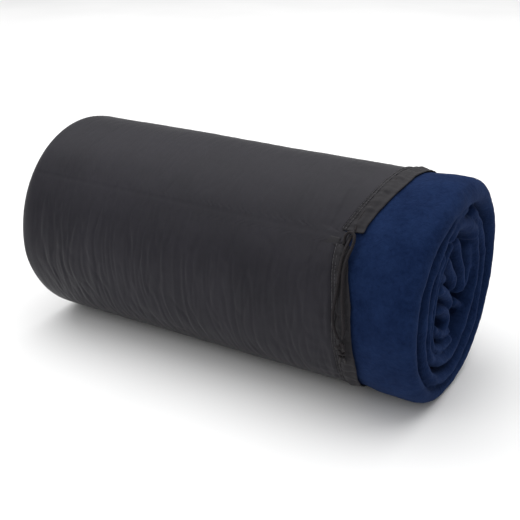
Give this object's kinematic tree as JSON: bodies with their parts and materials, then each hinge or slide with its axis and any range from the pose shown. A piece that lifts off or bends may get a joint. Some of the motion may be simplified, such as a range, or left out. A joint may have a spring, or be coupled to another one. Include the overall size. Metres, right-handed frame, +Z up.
{
  "type": "infrared sauna blanket",
  "caption": "Rolled fleece-covered heated blanket in a drawstring stuff sack. It lies on the sack's flattened side, and the roll slides out of the open mouth.",
  "frame": {"origin": "on the surface that the sack lies on, under the middle of the sack and roll", "axes": "+X along the roll towards the sack's mouth and the exposed end of the blanket, +Z up, -Y towards the side where the drawcord comes out"},
  "size_m": [0.478, 0.2452, 0.2296],
  "materials": {
    "nylon": "thin satin-faced nylon, black with a faint purple tint",
    "nylon_seam": "the same nylon, doubled and overlocked",
    "cord": "round braided polyester cord, black",
    "fleece": "navy polar fleece with a short soft pile",
    "wadding": "bonded off-white fibre wadding",
    "film": "matt polyester film",
    "carbon": "printed carbon, dull black",
    "copper": "tinned copper foil",
    "liner": "wipe-clean waterproof film, dark grey",
    "binding": "woven binding tape, dark navy",
    "zip_tape": "woven zip tape, black",
    "zip_coil": "nylon coil teeth, black",
    "zip_metal": "die-cast zinc, painted black",
    "cutout": "small thermal cut-out in a brass-coloured case",
    "sensor": "epoxy-dipped temperature sensor, green",
    "inlet_shell": "moulded black nylon",
    "inlet_core": "moulded dark grey nylon",
    "pins": "turned brass contact pins"
  },
  "bodies": {
    "sack": {"sack_tube": "nylon", "sack_base": "nylon", "base_seam_allowance": "nylon_seam", "side_seam_allowance": "nylon_seam", "mouth_casing": "nylon", "drawcord_in_casing": "cord", "drawcord_strand_upper": "cord", "drawcord_strand_lower": "cord", "drawcord_knot": "cord", "drawcord_tails": "cord"},
    "rolled_blanket": {"bottom_cover": "fleece", "bottom_wadding": "wadding", "bottom_heater_film": "film", "bottom_carbon_strips": "carbon", "bottom_bus_bars": "copper", "bottom_liner": "liner", "top_liner": "liner", "top_heater_film": "film", "top_carbon_strips": "carbon", "top_bus_bars": "copper", "top_wadding": "wadding", "top_cover": "fleece", "side_seam_binding": "binding", "zip_tapes": "zip_tape", "zip_coil": "zip_coil", "zip_slider": "zip_metal", "thermal_cutouts": "cutout", "temperature_sensor": "sensor", "inlet_tongue": "fleece", "inlet_socket_shell": "inlet_shell", "inlet_pin_carrier": "inlet_core", "inlet_pins": "pins"},
    "zip_pull": {"zip_pull_tab": "zip_metal"}
  },
  "joints": [
    {"name": "roll_out", "type": "slide", "parent": "sack", "child": "rolled_blanket", "axis": [1, 0, 0], "range_m": [0, 0.43]},
    {"name": "zip_pull_swing", "type": "hinge", "parent": "rolled_blanket", "child": "zip_pull", "pos_m": [-0.231, -0.10101, 0.1114], "axis": [-1, 0, 0], "range_deg": [0, 20]}
  ]
}
